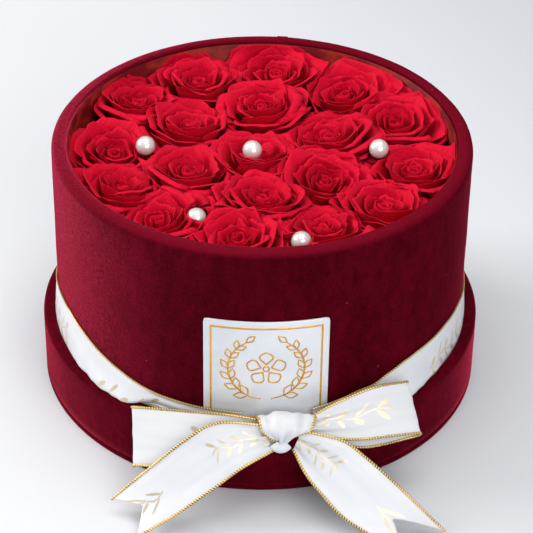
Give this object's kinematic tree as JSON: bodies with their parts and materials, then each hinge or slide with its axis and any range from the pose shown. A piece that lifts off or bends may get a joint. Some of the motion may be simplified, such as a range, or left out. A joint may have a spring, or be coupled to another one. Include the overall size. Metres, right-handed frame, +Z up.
{
  "type": "flower box",
  "caption": "Round velvet hat box filled with preserved roses and pearl pins, standing in its upturned lid, with a satin ribbon and bow and a label card.",
  "frame": {"origin": "centre of the upturned lid's underside, on the table", "axes": "+Z up, -Y towards the label and the bow, +X to the right of someone who faces the label"},
  "size_m": [0.2368, 0.2845, 0.141],
  "materials": {
    "velvet": "matte",
    "board": "matte",
    "lining_paper": "satin",
    "petals": "matte",
    "pearl": "gloss",
    "pin_steel": "polished",
    "foam": "matte",
    "label_card": "satin",
    "satin": "satin"
  },
  "bodies": {
    "lid": {"lid_disc_velvet": "velvet", "lid_disc_board": "board", "lid_wall_velvet": "velvet", "lid_wall_board": "board", "lid_lining": "lining_paper"},
    "box": {"box_velvet": "velvet", "box_base_board": "board", "box_wall_board": "board", "box_lining": "lining_paper", "rose_01": "petals", "rose_02": "petals", "rose_03": "petals", "rose_04": "petals", "rose_05": "petals", "rose_06": "petals", "rose_07": "petals", "rose_08": "petals", "rose_09": "petals", "rose_10": "petals", "rose_11": "petals", "rose_12": "petals", "rose_13": "petals", "rose_14": "petals", "rose_15": "petals", "rose_16": "petals", "rose_17": "petals", "rose_18": "petals", "rose_19": "petals", "pearl_1": "pearl", "pearl_2": "pearl", "pearl_3": "pearl", "pearl_4": "pearl", "pearl_5": "pearl", "pearl_6": "pearl", "pearl_pin_1": "pin_steel", "pearl_pin_2": "pin_steel", "pearl_pin_3": "pin_steel", "pearl_pin_4": "pin_steel", "pearl_pin_5": "pin_steel", "pearl_pin_6": "pin_steel", "foam_disc": "foam", "label_card": "label_card", "bow_knot": "satin", "ribbon_band": "satin", "bow_left_loop": "satin", "bow_right_loop": "satin", "bow_left_tail": "satin", "bow_right_tail": "satin"}
  },
  "joints": [
    {"name": "box_lift", "type": "slide", "parent": "lid", "child": "box", "axis": [0, 0, 1], "range_m": [0, 0.08]}
  ]
}
